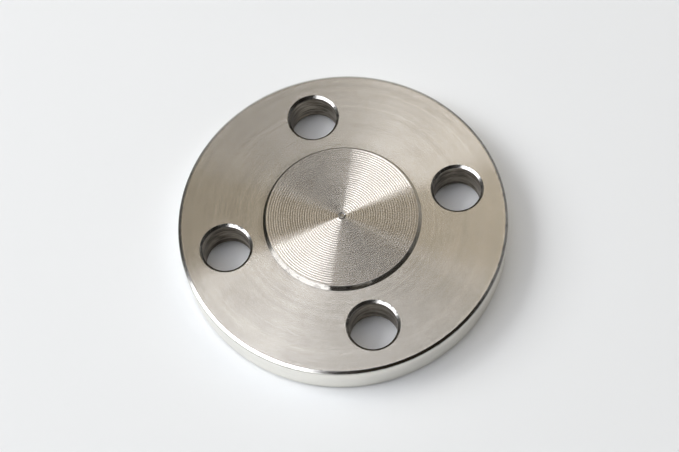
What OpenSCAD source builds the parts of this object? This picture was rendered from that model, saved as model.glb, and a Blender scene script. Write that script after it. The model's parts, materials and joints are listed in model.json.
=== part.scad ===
// Raised-face blind flange: one turned and drilled steel disc that closes the end of a pipe.
// The back face lies at z = 0, the axis is Z, and the gasket face points up.
// The bolt holes straddle the X and Y axes. All sizes are in millimetres.

/* [Disc] */
// Outside diameter of the flange
flange_d = 110; // [106:1:130]
// Thickness of the disc without its raised face
flange_t = 12.7; // [8:0.1:30]
// Size of the 45 degree bevel round the front rim
front_bevel = 1.1; // [0.2:0.1:2]
// Size of the 45 degree bevel round the back rim
back_bevel = 0.6; // [0.2:0.1:2]

/* [Raised face] */
// Diameter of the gasket face
face_d = 50.8; // [40:0.1:56]
// Height of the gasket face above the disc
face_h = 1.6; // [0.8:0.1:3]
// How far the raised face flares out, on each side, from its edge to its foot
face_flare = 0.95; // [0.1:0.05:1.5]

/* [Gasket grooves] */
// Distance from one concentric groove to the next
groove_pitch = 0.8; // [0.6:0.05:1]
// Depth of each groove
groove_depth = 0.05; // [0.02:0.01:0.1]
// Flat land left between two grooves
groove_land = 0.2; // [0.1:0.05:0.3]
// Smooth band left inside the edge of the gasket face
edge_land = 0.4; // [0.2:0.1:2]

/* [Centre mark] */
// Diameter of the mark that the lathe leaves at the centre
centre_d = 2.6; // [1:0.1:4]
// Diameter of the flat floor of the centre mark
centre_floor_d = 1.8; // [0.5:0.1:2]
// Depth of the centre mark
centre_depth = 0.2; // [0.1:0.05:0.6]

/* [Bolt holes] */
// Number of bolt holes
bolt_count = 4; // [4:4:8]
// Diameter of the circle through the centres of the bolt holes
bolt_circle_d = 79.4; // [77:0.1:84]
// Diameter of each bolt hole
bolt_hole_d = 15.9; // [10:0.1:18]
// Size of the 45 degree bevel at both ends of each hole
hole_bevel = 0.85; // [0.2:0.05:2]

/* [Hidden] */
steel_colour = [0.66, 0.64, 0.59];
round_fn = 180;
// How far a cutter runs past the face that it opens
overrun = 1;

flange_r = flange_d / 2;
face_r = face_d / 2;
centre_r = centre_d / 2;
bolt_hole_r = bolt_hole_d / 2;
bolt_circle_r = bolt_circle_d / 2;
face_z = flange_t + face_h;
groove_w = groove_pitch - groove_land;
groove_start_r = face_r - edge_land;
groove_count = floor((groove_start_r - centre_r) / groove_pitch);
// The holes straddle the centre lines: the first is half a step from +X
bolt_step = 360 / bolt_count;
bolt_start = bolt_step / 2;

// One shallow V groove in the outline, from its outer edge inwards
function groove_points(outer_r) = [
    [outer_r, face_z],
    [outer_r - groove_w / 2, face_z - groove_depth],
    [outer_r - groove_w, face_z]
];

// Half of the cross-section, from the back of the axis round the rim to the front
flange_outline = [
    [0, 0],
    [flange_r - back_bevel, 0],
    [flange_r, back_bevel],
    [flange_r, flange_t - front_bevel],
    [flange_r - front_bevel, flange_t],
    [face_r + face_flare, flange_t],
    [face_r, face_z],
    for (i = [0 : groove_count - 1]) each groove_points(groove_start_r - i * groove_pitch),
    [centre_r, face_z],
    [centre_floor_d / 2, face_z - centre_depth],
    [0, face_z - centre_depth]
];

// The turned disc before it is drilled
module turned_disc() {
    rotate_extrude($fn = round_fn) polygon(flange_outline);
}

// A 45 degree countersink that opens upwards at z = 0
module countersink() {
    cone_h = hole_bevel + overrun;
    translate([0, 0, -hole_bevel]) cylinder(r1 = bolt_hole_r, r2 = bolt_hole_r + cone_h, h = cone_h, $fn = round_fn);
}

// The cutter for one bolt hole, with a countersink at each face
module bolt_hole_cutter() {
    translate([0, 0, -overrun]) cylinder(r = bolt_hole_r, h = flange_t + 2 * overrun, $fn = round_fn);
    translate([0, 0, flange_t]) countersink();
    mirror([0, 0, 1]) countersink();
}

module blind_flange() {
    color(steel_colour) difference() {
        turned_disc();
        for (i = [0 : bolt_count - 1]) {
            rotate(bolt_start + i * bolt_step) translate([bolt_circle_r, 0, 0]) bolt_hole_cutter();
        }
    }
}

blind_flange();
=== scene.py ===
"""A raised-face blind flange in turned steel, lying on a pale studio floor.

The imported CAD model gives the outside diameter, the height, the bolt circle and the bolt holes. The
shown mesh is built on those, with rounded edges, turned gasket grooves and a lathe's centre mark.
Lengths are in metres and angles in degrees unless a name says otherwise.
"""

import json
import math
import random

import bpy
from mathutils import Matrix, Vector
from mathutils.geometry import delaunay_2d_cdt


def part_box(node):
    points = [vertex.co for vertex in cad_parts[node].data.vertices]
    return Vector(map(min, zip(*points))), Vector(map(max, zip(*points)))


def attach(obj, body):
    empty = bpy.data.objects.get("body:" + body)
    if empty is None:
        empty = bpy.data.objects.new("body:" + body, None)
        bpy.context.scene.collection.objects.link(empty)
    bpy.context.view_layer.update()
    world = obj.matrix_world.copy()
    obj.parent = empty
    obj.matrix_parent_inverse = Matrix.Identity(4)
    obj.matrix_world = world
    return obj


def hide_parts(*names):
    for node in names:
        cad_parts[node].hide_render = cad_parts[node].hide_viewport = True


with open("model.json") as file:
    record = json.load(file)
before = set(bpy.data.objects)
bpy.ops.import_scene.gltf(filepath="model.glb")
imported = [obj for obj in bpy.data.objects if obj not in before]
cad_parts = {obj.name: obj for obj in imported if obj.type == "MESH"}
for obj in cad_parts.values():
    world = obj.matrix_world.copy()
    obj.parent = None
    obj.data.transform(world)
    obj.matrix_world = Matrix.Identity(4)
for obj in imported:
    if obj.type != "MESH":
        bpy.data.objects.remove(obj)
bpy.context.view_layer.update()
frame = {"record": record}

# ---------------------------------------------------------------- sizes from the frame
NODE = "blind_flange"
node_low, node_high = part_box(NODE)
mounts = {mount["name"]: mount for mount in frame["record"]["mounts"]}
bolts = mounts["bolt_holes"]["dims"]

RIM_R = (node_high.x - node_low.x) / 2
FACE_Z = node_high.z
BOLT_CIRCLE_R = bolts["pcd_mm"] / 2000
BOLT_R = bolts["hole_r_mm"] / 1000
BOLT_COUNT = bolts["count"]

# ---------------------------------------------------------------- sizes of the turned details
# The raised face: its height, its edge, and how far its side flares out to its foot
FACE_H = 0.0016
DISC_Z = FACE_Z - FACE_H
FACE_R = 0.0254
FACE_FLARE = 0.00095

# The bevels, and the kink in the worn front one as shares of its width and height
FRONT_BEVEL = 0.0011
FRONT_KINK_IN = 0.15
FRONT_KINK_DOWN = 0.55
BACK_BEVEL = 0.0006
HOLE_BEVEL = 0.00085

# The gasket grooves: their spacing, depth, the land between two, and the smooth band round them
GROOVE_PITCH = 0.0008
GROOVE_DEPTH = 0.00009
GROOVE_DEPTH_SPREAD = (0.85, 1.1)
GROOVE_LAND = 0.00004
EDGE_LAND = 0.0004
GROOVE_SEED = 7

# The centre mark: a pit with a low rise in its middle
CENTRE_R = 0.0013
CENTRE_FLOOR_R = 0.0009
CENTRE_DEPTH = 0.0002
CENTRE_RISE_R = 0.0004
CENTRE_RISE_DEPTH = 0.00016
CENTRE_TIP_R = 0.0001
CENTRE_LIP = 0.0001

# How round each edge is
RIM_EDGE = 0.0002
FACE_EDGE = 0.00014
FOOT_FILLET = 0.00008
HOLE_EDGE = 0.0001
HOLE_THROAT = 0.0002
CENTRE_EDGE = 0.00008
CENTRE_FILLET = 0.0002

# Where the flat faces end
FOOT_R = FACE_R + FACE_FLARE
FOOT_EDGE_R = FOOT_R + 2 * FOOT_FILLET
HOLE_EDGE_R = BOLT_R + HOLE_BEVEL + HOLE_EDGE

# How finely the mesh follows each circle, each rounded edge and each groove
RIM_SEGMENTS = 256
FACE_SEGMENTS = 192
HOLE_SEGMENTS = 96
EDGE_STEPS = 4
GROOVE_STEPS = 8

# The points inside the flat faces: how many gaps between their circles, how far apart the points
# are along a circle, the fewest on one, and how clear they stay of a bolt hole's edge
FRONT_GAPS = 7
BACK_GAPS = 11
LOOSE_SPACING = 0.004
LOOSE_FEWEST = 12
LOOSE_CLEARANCE = 0.0015

# Names of the surfaces, in the order of the mesh's material slots
SURFACES = [
    "turned_face",
    "gasket_grooves",
    "face_wall",
    "turned_rim",
    "rim_bevel",
    "hole_bevel",
    "drilled_wall",
    "turned_back",
]


# ---------------------------------------------------------------- outlines
def rounded_outline(corners):
    """Points (radius, height, normal radius, normal height) along an outline whose solid is on its left.

    corners lists (radius, height, rounding); the first and last are end points and stay sharp.
    """
    flat = [Vector((r, z)) for r, z, _ in corners]
    normals = []
    for a, b in zip(flat, flat[1:]):
        along = (b - a).normalized()
        normals.append(Vector((along.y, -along.x)))
    points = [(*flat[0], *normals[0])]
    for i in range(1, len(flat) - 1):
        before, after = normals[i - 1], normals[i]
        turn = before.angle_signed(after)
        rounding = corners[i][2]
        back_off = rounding * math.tan(abs(turn) / 2)
        into = (flat[i] - flat[i - 1]).normalized()
        start = flat[i] - into * back_off
        side = 1 if turn < 0 else -1
        centre = start - before * rounding * side
        for k in range(EDGE_STEPS + 1):
            normal = before.lerp(after, k / EDGE_STEPS).normalized()
            points.append((*(centre + normal * rounding * side), *normal))
    points.append((*flat[-1], *normals[-1]))
    return points


def is_upright(band):
    """Whether a band of the rim or of a bolt hole is its upright side, between its second and third corners.

    The last band of the second corner's rounding counts as well.
    """
    second_corner_end = 2 * (EDGE_STEPS + 1)
    return second_corner_end - 1 <= band <= second_corner_end


def rim_outline():
    """The rim, from the back face to the front face."""
    return rounded_outline(
        [
            (RIM_R - BACK_BEVEL - RIM_EDGE, 0, 0),
            (RIM_R - BACK_BEVEL, 0, RIM_EDGE),
            (RIM_R, BACK_BEVEL, RIM_EDGE),
            (RIM_R, DISC_Z - FRONT_BEVEL, RIM_EDGE),
            (RIM_R - FRONT_BEVEL * FRONT_KINK_IN, DISC_Z - FRONT_BEVEL * FRONT_KINK_DOWN, RIM_EDGE),
            (RIM_R - FRONT_BEVEL, DISC_Z, RIM_EDGE),
            (RIM_R - FRONT_BEVEL - RIM_EDGE, DISC_Z, 0),
        ]
    )


def wall_outline():
    """The side of the raised face, from its foot to the smooth band inside its edge."""
    return rounded_outline(
        [
            (FOOT_EDGE_R, DISC_Z, 0),
            (FOOT_R, DISC_Z, FOOT_FILLET),
            (FACE_R, FACE_Z, FACE_EDGE),
            (FACE_R - EDGE_LAND + GROOVE_LAND, FACE_Z, 0),
        ]
    )


def groove_outline(rng):
    """The gasket face from its smooth edge band to the centre mark: a row of round-bottomed grooves."""
    start = FACE_R - EDGE_LAND
    count = int((start - CENTRE_R) / GROOVE_PITCH)
    half = (GROOVE_PITCH - GROOVE_LAND) / 2
    points = []
    for i in range(count):
        middle = start - i * GROOVE_PITCH - half
        depth = GROOVE_DEPTH * rng.uniform(*GROOVE_DEPTH_SPREAD)
        for k in range(GROOVE_STEPS + 1):
            across = 1 - 2 * k / GROOVE_STEPS
            slope = 2 * depth * across / half
            normal = Vector((-slope, 1)).normalized()
            points.append((middle + across * half, FACE_Z - depth * (1 - across * across), *normal))
    return points


def centre_outline():
    """The centre mark, from its edge to the tip of its rise."""
    return rounded_outline(
        [
            (CENTRE_R, FACE_Z, 0),
            (CENTRE_R - CENTRE_LIP, FACE_Z, CENTRE_EDGE),
            (CENTRE_FLOOR_R, FACE_Z - CENTRE_DEPTH, CENTRE_FILLET),
            (CENTRE_RISE_R, FACE_Z - CENTRE_RISE_DEPTH, CENTRE_FILLET),
            (CENTRE_TIP_R, FACE_Z - CENTRE_RISE_DEPTH, 0),
        ]
    )


def hole_outline():
    """A bolt hole, from the front face down to the back face."""
    return rounded_outline(
        [
            (HOLE_EDGE_R, DISC_Z, 0),
            (BOLT_R + HOLE_BEVEL, DISC_Z, HOLE_EDGE),
            (BOLT_R, DISC_Z - HOLE_BEVEL, HOLE_THROAT),
            (BOLT_R, HOLE_BEVEL, HOLE_THROAT),
            (BOLT_R + HOLE_BEVEL, 0, HOLE_EDGE),
            (HOLE_EDGE_R, 0, 0),
        ]
    )


# ---------------------------------------------------------------- the mesh
class Shell:
    """The flange's surface while it is being built: points, their normals, and faces by surface name."""

    def __init__(self):
        self.points = []
        self.normals = []
        self.faces = []
        self.surfaces = []

    def ring(self, centre, radius, z, normal_r, normal_z, segments):
        """One circle of points, with normals that lean out from its centre. Returns their numbers."""
        first = len(self.points)
        for i in range(segments):
            angle = 2 * math.pi * i / segments
            c, s = math.cos(angle), math.sin(angle)
            self.points.append((centre[0] + radius * c, centre[1] + radius * s, z))
            self.normals.append((normal_r * c, normal_r * s, normal_z))
        return list(range(first, first + segments))

    def band(self, lower, upper, surface):
        """A strip of quads between two circles of the same number of points."""
        count = len(lower)
        for i in range(count):
            j = (i + 1) % count
            self.faces.append((lower[i], lower[j], upper[j], upper[i]))
            self.surfaces.append(surface)

    def lathe(self, centre, outline, segments, surface_of):
        """Turns an outline about a vertical axis, and returns its first and last circles."""
        rings = [self.ring(centre, *point, segments) for point in outline]
        for k, (lower, upper) in enumerate(zip(rings, rings[1:])):
            self.band(lower, upper, surface_of(k))
        return rings[0], rings[-1]

    def cap(self, circle, centre, z, surface):
        """Closes a circle with a fan that faces up."""
        self.points.append((centre[0], centre[1], z))
        self.normals.append((0, 0, 1))
        tip = len(self.points) - 1
        count = len(circle)
        for i in range(count):
            self.faces.append((circle[i], circle[(i + 1) % count], tip))
            self.surfaces.append(surface)

    def plate(self, z, up, circles, loose, inside, surface):
        """Fills a flat region between circles that are there already, with loose points inside it."""
        numbers = []
        edges = []
        for circle in circles:
            start, count = len(numbers), len(circle)
            numbers.extend(circle)
            edges.extend((start + i, start + (i + 1) % count) for i in range(count))
        for x, y in loose:
            self.points.append((x, y, z))
            self.normals.append((0, 0, 1 if up else -1))
            numbers.append(len(self.points) - 1)
        # The triangulation works in millimetres, well above its smallest distance
        flat = [Vector(self.points[n][:2]) * 1000 for n in numbers]
        _, _, triangles, origins, _, _ = delaunay_2d_cdt(flat, edges, [], 0, 1e-7)
        for triangle in triangles:
            ids = [numbers[origins[v][0]] for v in triangle]
            middle = sum((Vector(self.points[n][:2]) for n in ids), Vector((0, 0))) / 3
            if inside(middle):
                self.faces.append(tuple(ids if up else reversed(ids)))
                self.surfaces.append(surface)

    def mesh(self, name):
        """The finished mesh, smooth, with the normals of the true surface."""
        mesh = bpy.data.meshes.new(name)
        mesh.from_pydata(self.points, [], self.faces)
        mesh.polygons.foreach_set("material_index", [SURFACES.index(s) for s in self.surfaces])
        mesh.polygons.foreach_set("use_smooth", [True] * len(self.faces))
        mesh.update()
        mesh.normals_split_custom_set_from_vertices(self.normals)
        return mesh


def hole_centres():
    """The bolt holes straddle the X and Y axes."""
    step = 2 * math.pi / BOLT_COUNT
    angles = [step * (i + 0.5) for i in range(BOLT_COUNT)]
    return [(BOLT_CIRCLE_R * math.cos(a), BOLT_CIRCLE_R * math.sin(a)) for a in angles]


def off_holes(point, distance):
    """Whether a point is further than a distance from the centre of each bolt hole."""
    return all(math.dist(point, centre) > distance for centre in hole_centres())


def on_front(point):
    return point.length > FOOT_EDGE_R and off_holes(point, HOLE_EDGE_R)


def on_back(point):
    return off_holes(point, HOLE_EDGE_R)


def loose_points(radii):
    """Points on circles between the edges of a flat face, clear of the bolt holes."""
    found = []
    for radius in radii:
        count = max(LOOSE_FEWEST, int(2 * math.pi * radius / LOOSE_SPACING))
        for i in range(count):
            angle = 2 * math.pi * (i + 0.5) / count
            point = (radius * math.cos(angle), radius * math.sin(angle))
            if off_holes(point, HOLE_EDGE_R + LOOSE_CLEARANCE):
                found.append(point)
    return found


def make_flange():
    shell = Shell()
    axis = (0, 0)
    back_outer, front_outer = shell.lathe(
        axis, rim_outline(), RIM_SEGMENTS, lambda k: "turned_rim" if is_upright(k) else "rim_bevel"
    )

    # The raised face, from its foot to the centre mark. The last band of its side is flat, and counts as
    # part of the gasket face.
    wall = wall_outline()
    wall_bands = len(wall) - 2
    foot, centre_edge = shell.lathe(
        axis,
        wall + groove_outline(random.Random(GROOVE_SEED)),
        FACE_SEGMENTS,
        lambda k: "face_wall" if k < wall_bands else "gasket_grooves",
    )
    mark = shell.ring(axis, CENTRE_R, FACE_Z, 0, 1, FACE_SEGMENTS)
    shell.band(centre_edge, mark, "gasket_grooves")
    pit_top, pit_floor = shell.lathe(axis, centre_outline()[1:], FACE_SEGMENTS, lambda k: "hole_bevel")
    shell.band(mark, pit_top, "hole_bevel")
    shell.cap(pit_floor, axis, FACE_Z - CENTRE_RISE_DEPTH, "hole_bevel")

    front_holes, back_holes = [], []
    for centre in hole_centres():
        top, bottom = shell.lathe(
            centre, hole_outline(), HOLE_SEGMENTS, lambda k: "drilled_wall" if is_upright(k) else "hole_bevel"
        )
        front_holes.append(top)
        back_holes.append(bottom)

    # The flat front and back faces
    span = RIM_R - FRONT_BEVEL - FOOT_R
    front_loose = loose_points([FOOT_R + span * k / FRONT_GAPS for k in range(1, FRONT_GAPS)])
    shell.plate(DISC_Z, True, [front_outer, foot, *front_holes], front_loose, on_front, "turned_face")
    back_loose = [axis, *loose_points([RIM_R * k / BACK_GAPS for k in range(1, BACK_GAPS)])]
    shell.plate(0, False, [back_outer, *back_holes], back_loose, on_back, "turned_back")

    flange = bpy.data.objects.new("blind_flange_turned", shell.mesh("blind_flange_turned"))
    bpy.context.scene.collection.objects.link(flange)
    return flange


# ---------------------------------------------------------------- shader nodes
class Nodes:
    """Short names for building the nodes of one material or world."""

    def __init__(self, owner):
        self.owner = owner
        owner.use_nodes = True
        self.tree = owner.node_tree
        self.tree.nodes.clear()

    def add(self, kind, **settings):
        node = self.tree.nodes.new(kind)
        for key, value in settings.items():
            setattr(node, key, value)
        return node

    def link(self, source, target):
        self.tree.links.new(source, target)

    def put(self, target, value):
        """Links a socket to another node's output, or sets its value."""
        if hasattr(value, "is_output"):
            self.link(value, target)
        else:
            target.default_value = value

    def math(self, operation, a, b=0.0, clamp=False):
        node = self.add("ShaderNodeMath", operation=operation, use_clamp=clamp)
        self.put(node.inputs[0], a)
        self.put(node.inputs[1], b)
        return node.outputs[0]

    def vector_math(self, operation, a, b=None):
        node = self.add("ShaderNodeVectorMath", operation=operation)
        self.put(node.inputs[0], a)
        if b is not None:
            self.put(node.inputs[1], b)
        return node.outputs["Value" if operation == "DOT_PRODUCT" else "Vector"]

    def noise(self, vector, scale, detail, roughness=0.5):
        node = self.add("ShaderNodeTexNoise")
        self.put(node.inputs["Vector"], vector)
        self.put(node.inputs["Scale"], scale)
        self.put(node.inputs["Detail"], detail)
        self.put(node.inputs["Roughness"], roughness)
        return node.outputs["Fac"]

    def ranged(self, value, low, high, to_low, to_high):
        node = self.add("ShaderNodeMapRange")
        self.put(node.inputs["Value"], value)
        self.put(node.inputs["From Min"], low)
        self.put(node.inputs["From Max"], high)
        self.put(node.inputs["To Min"], to_low)
        self.put(node.inputs["To Max"], to_high)
        return node.outputs["Result"]

    def spread(self, noise, to_low, to_high):
        """Noise, which mostly lies between 0.3 and 0.7, brought to another range."""
        return self.ranged(noise, 0.3, 0.7, to_low, to_high)

    def combine(self, x, y, z):
        node = self.add("ShaderNodeCombineXYZ")
        self.put(node.inputs[0], x)
        self.put(node.inputs[1], y)
        self.put(node.inputs[2], z)
        return node.outputs[0]

    def bump(self, height):
        """Bump for a height in metres."""
        node = self.add("ShaderNodeBump")
        node.inputs["Strength"].default_value = 1.0
        node.inputs["Distance"].default_value = 1.0
        self.link(height, node.inputs["Height"])
        return node

    def surface(self, shader, output="ShaderNodeOutputMaterial"):
        """Makes a shader the surface of the material, or of the world."""
        self.link(shader.outputs[0], self.add(output).inputs["Surface"])


# ---------------------------------------------------------------- materials
STEEL = (0.628, 0.612, 0.563)

# How fine each kind of noise in the turned steel is, in features to a metre
DRIFT_SCALE = 60.0
CUT_SCALE = 6.0
PATCH_SCALE = 45.0
SPECK_SCALE = 900.0
CHIP_SCALE = 650.0

# The drift and the width of the broad tool marks, as shares of the distance between the fine ones, and
# the height of the specks as a share of the height of the marks
DRIFT = 0.6
BROAD_MARK = 9.0
SPECK_HEIGHT = 0.15

# The drilled walls: colours, the dark one being painted shade, and the scale of the noise round the hole, in
# the smears, in the rings and in the patches, with the heights of the last two
DRILLED_PAINTED_SHADE = (0.10, 0.083, 0.062)
DRILLED_BRIGHT = (0.62, 0.56, 0.46)
DRILLED_ROUND_SCALE = 110.0
DRILLED_SMEAR_SCALE = 320.0
DRILLED_RING_SCALE = 1500.0
DRILLED_PATCH_SCALE = 170.0
DRILLED_RING_HEIGHT = 0.00005
DRILLED_PATCH_HEIGHT = 0.00008


def metal(name):
    """The start of a metal: its nodes, its shader, and the place on the flange with its x, y and z."""
    n = Nodes(bpy.data.materials.new(name))
    shader = n.add("ShaderNodeBsdfPrincipled")
    shader.inputs["Metallic"].default_value = 1.0
    n.surface(shader)
    place = n.add("ShaderNodeTexCoord").outputs["Object"]
    split = n.add("ShaderNodeSeparateXYZ")
    n.link(place, split.inputs[0])
    return n, shader, place, split.outputs


def feed_normal(n, x, y, radius, feed, slope, power):
    """A normal that leans in and out along the radius, as the sides of hair-fine feed marks do."""
    saw = n.math("SUBTRACT", n.math("MULTIPLY", n.math("FRACT", n.math("DIVIDE", radius, feed)), 2.0), 1.0)
    curve = n.math("POWER", n.math("ABSOLUTE", saw), power - 1.0)
    bent = n.math("MULTIPLY", n.math("MULTIPLY", saw, curve), slope)
    outward = n.vector_math("NORMALIZE", n.combine(x, y, 0.0))
    lean = n.add("ShaderNodeVectorMath", operation="SCALE")
    n.link(outward, lean.inputs[0])
    n.link(bent, lean.inputs["Scale"])
    flat = n.add("ShaderNodeNewGeometry").outputs["Normal"]
    return n.vector_math("NORMALIZE", n.vector_math("ADD", flat, lean.outputs[0]))


def steel(
    name,
    roughness,
    rough_spread,
    line_height,
    line_pitch,
    anisotropic,
    along="radius",
    tone=1.0,
    tint=(1, 1, 1),
    line_tone=0.04,
    rings=0.0,
    nicks=0.0,
    feed=0.0,
    feed_slope=0.0,
    feed_power=1,
):
    """Turned steel. Its tool marks run round the axis, and follow each other along the radius or the height.

    roughness changes by rough_spread from mark to mark. line_height is the height of the visible tool
    marks, line_pitch their distance apart, and line_tone how much they change the colour. tone and tint
    scale the colour of the steel. rings paints shade into the bottoms of the gasket grooves and a
    highlight onto their edges, and nicks darkens small chips. feed is the distance between the hair-fine
    feed marks, feed_slope the steepest slope of their sides, and feed_power flattens the middle of each mark.
    """
    n, shader, place, (x, y, z) = metal(name)
    radius = n.math("SQRT", n.math("ADD", n.math("MULTIPLY", x, x), n.math("MULTIPLY", y, y)))
    across = radius if along == "radius" else z

    # Tool marks: noise that is drawn out along the cut, and drifts a little off the true circle
    drift = n.math("MULTIPLY", n.noise(place, DRIFT_SCALE, 1.0), line_pitch * DRIFT)
    track = n.math("ADD", across, drift)
    cut = (n.math("MULTIPLY", x, CUT_SCALE), n.math("MULTIPLY", y, CUT_SCALE))
    lines = n.noise(n.combine(*cut, n.math("DIVIDE", track, line_pitch)), 1.0, 3.0, 0.65)
    broad_track = n.math("DIVIDE", track, line_pitch * BROAD_MARK)
    broad_lines = n.noise(n.combine(0.0, 0.0, broad_track), 1.0, 2.0, 0.5)
    patches = n.noise(place, PATCH_SCALE, 4.0, 0.6)
    specks = n.noise(place, SPECK_SCALE, 2.0, 0.5)

    value = n.math("ADD", n.spread(patches, 0.94, 1.06), n.spread(broad_lines, -0.03, 0.03))
    value = n.math("ADD", value, n.spread(lines, -line_tone, line_tone))
    if nicks:
        chips = n.ranged(n.noise(place, CHIP_SCALE, 3.0, 0.6), 0.54, 0.64, 0.0, 1.0)
        value = n.math("SUBTRACT", value, n.math("MULTIPLY", chips, nicks))
    # Painted shade in the bottoms of the gasket grooves and a painted highlight on their edges, put into the
    # colour
    if rings:
        phase = n.math("DIVIDE", n.math("SUBTRACT", FACE_R - EDGE_LAND, radius), GROOVE_PITCH)
        wave = n.math("COSINE", n.math("MULTIPLY", phase, 2 * math.pi))
        value = n.math("ADD", value, n.math("MULTIPLY", wave, rings))
    colour = n.add("ShaderNodeMix", data_type="RGBA", blend_type="MULTIPLY")
    colour.inputs["Factor"].default_value = 1.0
    colour.inputs["A"].default_value = (*[c * tone * t for c, t in zip(STEEL, tint)], 1)
    n.link(n.combine(value, value, value), colour.inputs["B"])
    n.link(colour.outputs["Result"], shader.inputs["Base Color"])

    rough_lines = n.spread(lines, roughness - rough_spread, roughness + rough_spread)
    n.link(n.math("ADD", rough_lines, n.spread(patches, -0.02, 0.02)), shader.inputs["Roughness"])

    grain = n.math("MULTIPLY", specks, line_height * SPECK_HEIGHT)
    bump = n.bump(n.math("ADD", n.math("MULTIPLY", lines, line_height), grain))
    if feed:
        n.link(feed_normal(n, x, y, radius, feed, feed_slope, feed_power), bump.inputs["Normal"])
    n.link(bump.outputs["Normal"], shader.inputs["Normal"])

    # A quarter turn puts the long side of each highlight across the cut
    shader.inputs["Anisotropic"].default_value = anisotropic
    shader.inputs["Anisotropic Rotation"].default_value = 0.25
    if anisotropic:
        tangent = n.add("ShaderNodeTangent", direction_type="RADIAL", axis="Z")
        n.link(tangent.outputs["Tangent"], shader.inputs["Tangent"])
    return n.owner


def drilled_steel(name):
    """The wall of a drilled hole: a base colour darkened with painted shade, rough and smeared, with rings
    from the drill's lips.
    """
    n, shader, place, (x, y, z) = metal(name)
    around = (n.math("MULTIPLY", x, DRILLED_ROUND_SCALE), n.math("MULTIPLY", y, DRILLED_ROUND_SCALE))
    smears = n.noise(n.combine(*around, n.math("MULTIPLY", z, DRILLED_SMEAR_SCALE)), 1.0, 3.0, 0.6)
    rings = n.noise(n.combine(*around, n.math("MULTIPLY", z, DRILLED_RING_SCALE)), 1.0, 3.0, 0.6)
    patches = n.noise(place, DRILLED_PATCH_SCALE, 4.0, 0.65)
    bright_smears = n.ranged(smears, 0.44, 0.66, 0.0, 0.5)
    bright_rings = n.ranged(rings, 0.45, 0.62, 0.0, 0.5)
    colour = n.add("ShaderNodeMix", data_type="RGBA")
    n.link(n.math("ADD", bright_smears, bright_rings, clamp=True), colour.inputs["Factor"])
    # Painted shade: the base of the hole wall is far darker than the steel
    colour.inputs["A"].default_value = (*DRILLED_PAINTED_SHADE, 1)
    colour.inputs["B"].default_value = (*DRILLED_BRIGHT, 1)
    n.link(colour.outputs["Result"], shader.inputs["Base Color"])
    n.link(n.spread(patches, 0.50, 0.32), shader.inputs["Roughness"])
    ring_height = n.math("MULTIPLY", rings, DRILLED_RING_HEIGHT)
    patch_height = n.math("MULTIPLY", patches, DRILLED_PATCH_HEIGHT)
    n.link(n.bump(n.math("ADD", ring_height, patch_height)).outputs["Normal"], shader.inputs["Normal"])
    return n.owner


def make_materials():
    """The finishes, in the order of SURFACES."""
    return [
        steel(
            "turned_face",
            roughness=0.20,
            rough_spread=0.03,
            line_height=0.0000005,
            line_pitch=0.0004,
            anisotropic=0.9,
            tone=0.98,
            line_tone=0.075,
            feed=0.00007,
            feed_slope=0.6,
            feed_power=3,
        ),
        steel(
            "gasket_grooves",
            roughness=0.21,
            rough_spread=0.02,
            line_height=0.0000002,
            line_pitch=0.0003,
            anisotropic=1.0,
            tone=0.97,
            tint=(1, 0.98, 0.955),
            # Painted shade in the groove bottoms and a painted highlight on the groove edges
            rings=0.10,
            feed=0.00005,
            feed_slope=0.6,
        ),
        steel(
            "face_wall",
            roughness=0.09,
            rough_spread=0.02,
            line_height=0.0000002,
            line_pitch=0.0002,
            anisotropic=0.0,
            # Painted shade: the side of the raised face is a darker copy of the same steel
            tone=0.6,
            nicks=0.3,
        ),
        steel(
            "turned_rim",
            roughness=0.24,
            rough_spread=0.03,
            line_height=0.000001,
            line_pitch=0.0005,
            anisotropic=0.6,
            along="height",
            # Painted light: the rim's upright side is a lighter copy of the same steel
            tone=1.3,
            line_tone=0.05,
        ),
        steel(
            "rim_bevel",
            roughness=0.19,
            rough_spread=0.03,
            line_height=0.0000005,
            line_pitch=0.0002,
            anisotropic=0.0,
            tone=0.9,
            nicks=0.3,
        ),
        steel(
            "hole_bevel",
            roughness=0.24,
            rough_spread=0.04,
            line_height=0.000002,
            line_pitch=0.0002,
            anisotropic=0.0,
            # Painted shade: the bolt-hole bevels and the centre mark are a darker copy of the same steel
            tone=0.58,
            nicks=0.75,
        ),
        drilled_steel("drilled_wall"),
        steel(
            "turned_back",
            roughness=0.32,
            rough_spread=0.03,
            line_height=0.000001,
            line_pitch=0.0007,
            anisotropic=0.8,
        ),
    ]


# ---------------------------------------------------------------- studio
# Azimuths are counted from +X towards +Y. The room is dark, with a pale patch of ceiling.
ROOM_COLOUR = (0.018, 0.014, 0.010)
PATCH_COLOUR = (1.12, 0.98, 0.79)
PATCH_AZIMUTH, PATCH_ELEVATION, PATCH_RADIUS = 85, 52, 36
BACKDROP_COLOUR = (0.84, 0.84, 0.84)

# Two dim glows along the horizon: one behind the flange, and a lower one all round. Each fades in from
# the first height to the second, as sines of the elevation.
BACK_GLOW, BACK_GLOW_AZIMUTH, BACK_GLOW_HEIGHTS = 0.16, 110, (0.65, 0.35)
LOW_GLOW, LOW_GLOW_HEIGHTS = 0.12, (0.34, 0.16)

# The overhead softbox: its height, and its corners as shares of that height
SOFTBOX_COLOUR = (0.97, 0.98, 1.06)
OVERHEAD_Z = 2.7
OVERHEAD_PLAN = ((0.5, 0.57), (-0.29, -0.75), (-0.75, -1.52), (-1.18, -0.40), (-0.85, -0.12))
OVERHEAD_STRENGTH = 2.0

# The front softbox stands upright and faces the flange. The rim strip is long and thin, and lightens the
# bevel on the right of the rim. Corners are (azimuth, elevation).
PANEL_DISTANCE = 3.0
FRONT_AZIMUTH = -114
FRONT_CORNERS = ((-142, 3), (-76, 3), (-76, 40), (-159, 40))
FRONT_STRENGTH = 5.3
STRIP_CORNERS = ((25, 37), (50, 28), (88, 11), (88, 19), (50, 36), (25, 45))
STRIP_STRENGTH = 2.6

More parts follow.
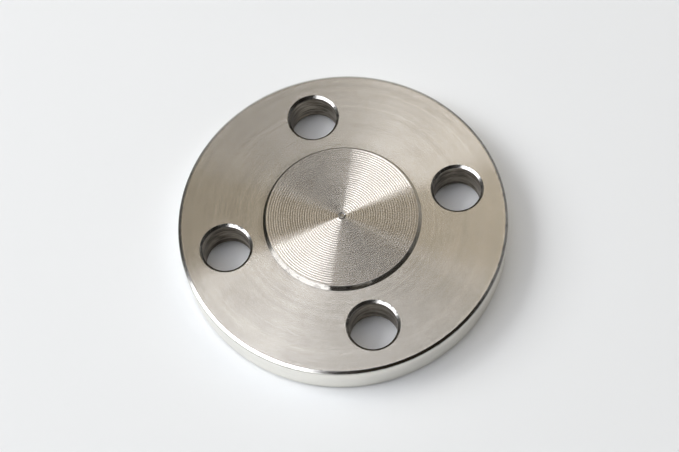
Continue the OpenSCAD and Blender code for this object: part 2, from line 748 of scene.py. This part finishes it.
# The lamps that light the floor
LAMP_SIZE = 1.4
LAMP_DISTANCE = 2.5
KEY_AZIMUTH, KEY_ELEVATION, KEY_WATTS = 199, 38, 42
FILL_AZIMUTH, FILL_ELEVATION, FILL_WATTS = 10, 30, 9

FLOOR_HALF_SIZE = 4.0
FLOOR_COLOUR = (0.842, 0.866, 0.868)

# The camera's azimuth is 0 when it looks along +Y
CAMERA_AIM = Vector((0.00076, -0.00302, DISC_Z))
CAMERA_DISTANCE = 0.504
CAMERA_AZIMUTH = 37.26
CAMERA_ELEVATION = 64.46
CAMERA_ROLL = -7.48
CAMERA_LENS_MM = 80.67
CAMERA_SENSOR_MM = 36
CAMERA_CLIP = (0.01, 20)


def cos_degrees(angle):
    return math.cos(math.radians(angle))


def direction(azimuth, elevation):
    """The unit vector that points from the flange to a compass direction."""
    a, e = math.radians(azimuth), math.radians(elevation)
    return Vector((math.cos(a) * math.cos(e), math.sin(a) * math.cos(e), math.sin(e)))


def emitter(name, corners, strength, diffuse):
    """A flat light panel that the camera can't see. If diffuse is off, it only shows in reflections."""
    mesh = bpy.data.meshes.new(name)
    mesh.from_pydata(corners, [], [list(range(len(corners)))])
    panel = bpy.data.objects.new(name, mesh)
    n = Nodes(bpy.data.materials.new(name))
    glow = n.add("ShaderNodeEmission")
    glow.inputs["Color"].default_value = (*SOFTBOX_COLOUR, 1)
    glow.inputs["Strength"].default_value = strength
    n.surface(glow)
    mesh.materials.append(n.owner)
    bpy.context.scene.collection.objects.link(panel)
    panel.visible_camera = False
    panel.visible_diffuse = diffuse


def floor_light(name, azimuth, elevation, watts):
    """A soft lamp that lights the floor and shapes the shadow, and doesn't show in the steel."""
    lamp = bpy.data.lights.new(name, "AREA")
    lamp.size = LAMP_SIZE
    lamp.energy = watts
    light = bpy.data.objects.new(name, lamp)
    toward = direction(azimuth, elevation)
    turn = toward.to_track_quat("Z", "Y").to_matrix().to_4x4()
    light.matrix_world = Matrix.Translation(toward * LAMP_DISTANCE) @ turn
    light.visible_glossy = False
    bpy.context.scene.collection.objects.link(light)


def make_lights():
    overhead = [Vector((x, y, 1)) * OVERHEAD_Z for x, y in OVERHEAD_PLAN]
    emitter("overhead_softbox", overhead, OVERHEAD_STRENGTH, True)
    front = [
        direction(a, e) / cos_degrees(e) / cos_degrees(a - FRONT_AZIMUTH) * PANEL_DISTANCE
        for a, e in FRONT_CORNERS
    ]
    emitter("front_softbox", front, FRONT_STRENGTH, False)
    strip = [direction(a, e) * PANEL_DISTANCE for a, e in STRIP_CORNERS]
    emitter("rim_strip", strip, STRIP_STRENGTH, False)
    floor_light("key", KEY_AZIMUTH, KEY_ELEVATION, KEY_WATTS)
    floor_light("fill", FILL_AZIMUTH, FILL_ELEVATION, FILL_WATTS)


def make_floor():
    side = FLOOR_HALF_SIZE
    corners = [(-side, -side, 0), (side, -side, 0), (side, side, 0), (-side, side, 0)]
    mesh = bpy.data.meshes.new("studio_floor")
    mesh.from_pydata(corners, [], [(0, 1, 2, 3)])
    floor = bpy.data.objects.new("studio_floor", mesh)
    n = Nodes(bpy.data.materials.new("studio_floor"))
    shader = n.add("ShaderNodeBsdfPrincipled")
    shader.inputs["Base Color"].default_value = (*FLOOR_COLOUR, 1)
    shader.inputs["Roughness"].default_value = 0.9
    shader.inputs["Specular IOR Level"].default_value = 0.1
    n.surface(shader)
    mesh.materials.append(n.owner)
    bpy.context.scene.collection.objects.link(floor)


def make_world():
    """Dark surroundings with a pale patch of ceiling and dim glows along the horizon.

    The camera itself sees a pale backdrop.
    """
    world = bpy.data.worlds.new("studio")
    bpy.context.scene.world = world
    n = Nodes(world)
    toward = n.add("ShaderNodeTexCoord").outputs["Generated"]

    def facing(azimuth, elevation):
        """The cosine of the angle to a compass direction."""
        return n.vector_math("DOT_PRODUCT", toward, direction(azimuth, elevation))

    height = facing(0, 90)
    patch = n.ranged(facing(PATCH_AZIMUTH, PATCH_ELEVATION), cos_degrees(PATCH_RADIUS), 1.0, 0.0, 1.0)
    colour = n.add("ShaderNodeMix", data_type="RGBA")
    n.link(patch, colour.inputs["Factor"])
    colour.inputs["A"].default_value = (*ROOM_COLOUR, 1)
    colour.inputs["B"].default_value = (*PATCH_COLOUR, 1)
    behind = n.ranged(facing(BACK_GLOW_AZIMUTH, 0), 0.0, 0.5, 0.0, 1.0)
    back = n.math("MULTIPLY", n.ranged(height, *BACK_GLOW_HEIGHTS, 0.0, BACK_GLOW), behind)
    low = n.ranged(height, *LOW_GLOW_HEIGHTS, 0.0, LOW_GLOW)
    glow = n.math("MAXIMUM", back, low)
    total = n.vector_math("ADD", colour.outputs["Result"], n.combine(glow, glow, glow))
    surroundings = n.add("ShaderNodeBackground")
    n.link(total, surroundings.inputs["Color"])
    backdrop = n.add("ShaderNodeBackground")
    backdrop.inputs["Color"].default_value = (*BACKDROP_COLOUR, 1)
    mix = n.add("ShaderNodeMixShader")
    n.link(n.add("ShaderNodeLightPath").outputs["Is Camera Ray"], mix.inputs[0])
    n.link(surroundings.outputs[0], mix.inputs[1])
    n.link(backdrop.outputs[0], mix.inputs[2])
    n.surface(mix, "ShaderNodeOutputWorld")


def make_camera():
    data = bpy.data.cameras.new("camera")
    data.sensor_width = CAMERA_SENSOR_MM
    data.lens = CAMERA_LENS_MM
    data.clip_start, data.clip_end = CAMERA_CLIP
    camera = bpy.data.objects.new("camera", data)
    a, e = math.radians(CAMERA_AZIMUTH), math.radians(CAMERA_ELEVATION)
    back = Vector((math.sin(a) * math.cos(e), -math.cos(a) * math.cos(e), math.sin(e)))
    right = Vector((math.cos(a), math.sin(a), 0))
    roll = Matrix.Rotation(math.radians(CAMERA_ROLL), 3, "Z")
    turn = Matrix((right, back.cross(right), back)).transposed() @ roll
    camera.matrix_world = Matrix.Translation(CAMERA_AIM + back * CAMERA_DISTANCE) @ turn.to_4x4()
    bpy.context.scene.collection.objects.link(camera)
    bpy.context.scene.camera = camera


# ---------------------------------------------------------------- the scene
bpy.context.scene.view_settings.view_transform = "Standard"
make_camera()
make_floor()
make_world()
make_lights()

flange = make_flange()
for material in make_materials():
    flange.data.materials.append(material)
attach(flange, "root")
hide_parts(NODE)
